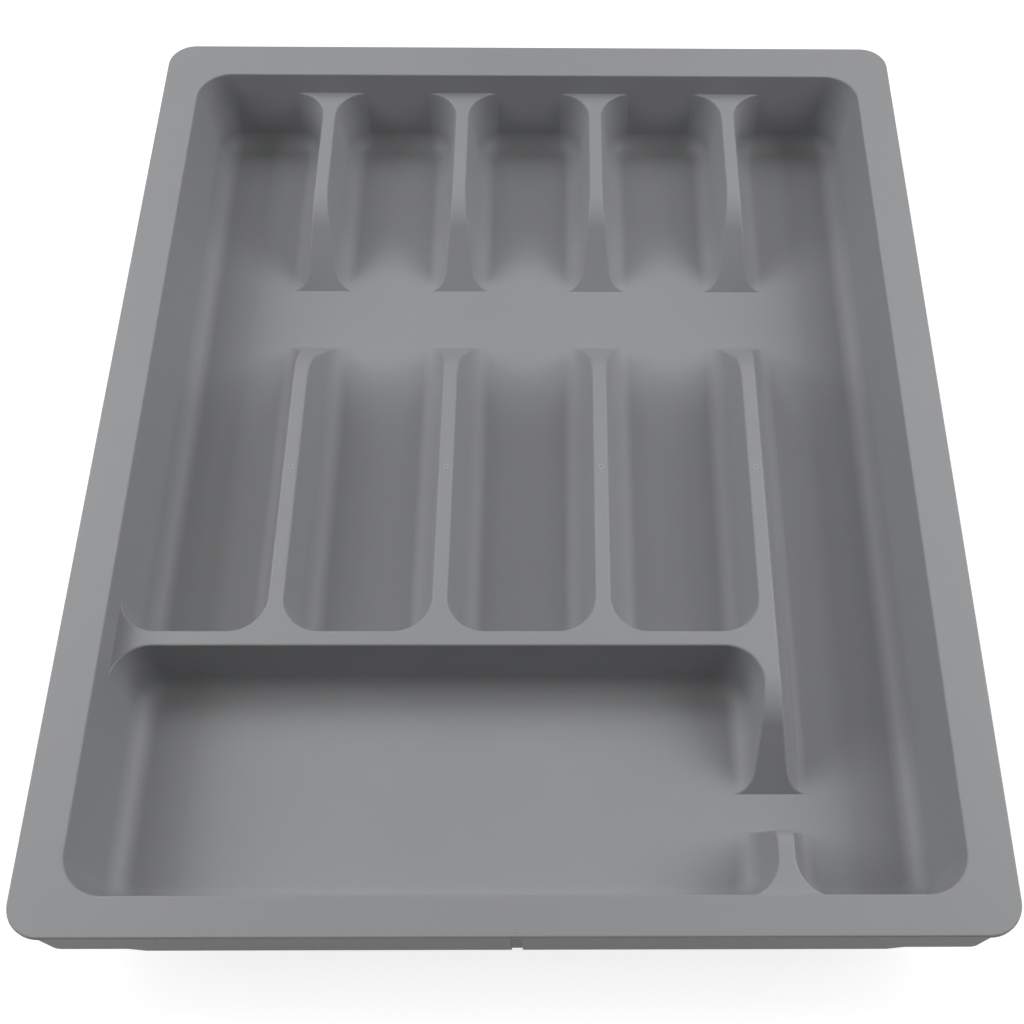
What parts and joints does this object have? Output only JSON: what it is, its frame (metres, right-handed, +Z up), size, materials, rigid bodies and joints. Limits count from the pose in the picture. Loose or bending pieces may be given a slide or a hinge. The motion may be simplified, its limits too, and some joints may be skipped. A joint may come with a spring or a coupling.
{
  "type": "cutlery tray",
  "caption": "Rectangular drawer tray with a flat rim, long narrow bays for cutlery, a wide front compartment and a full-length side channel.",
  "frame": {"origin": "centre of the tray's bounding box, on the underside it rests on", "axes": "+X to the tray's right, +Y from the front compartment to the back wall, +Z up out of the compartments"},
  "size_m": [0.4, 0.49, 0.049],
  "materials": {
    "shell": "satin light grey polypropylene with softly polished wide faces"
  },
  "bodies": {
    "root": {"rim_flange": "shell", "floor_pan": "shell", "left_wall_rear": "shell", "left_wall_middle": "shell", "left_wall_front": "shell", "right_wall": "shell", "front_wall": "shell", "back_wall": "shell", "rear_divider_1": "shell", "rear_divider_2": "shell", "rear_divider_3": "shell", "rear_divider_4": "shell", "middle_divider_1": "shell", "middle_divider_2": "shell", "middle_divider_3": "shell", "cross_divider": "shell", "channel_divider": "shell", "stub_divider": "shell", "front_skirt": "shell", "left_skirt_end": "shell", "right_skirt_end": "shell"}
  },
  "joints": []
}
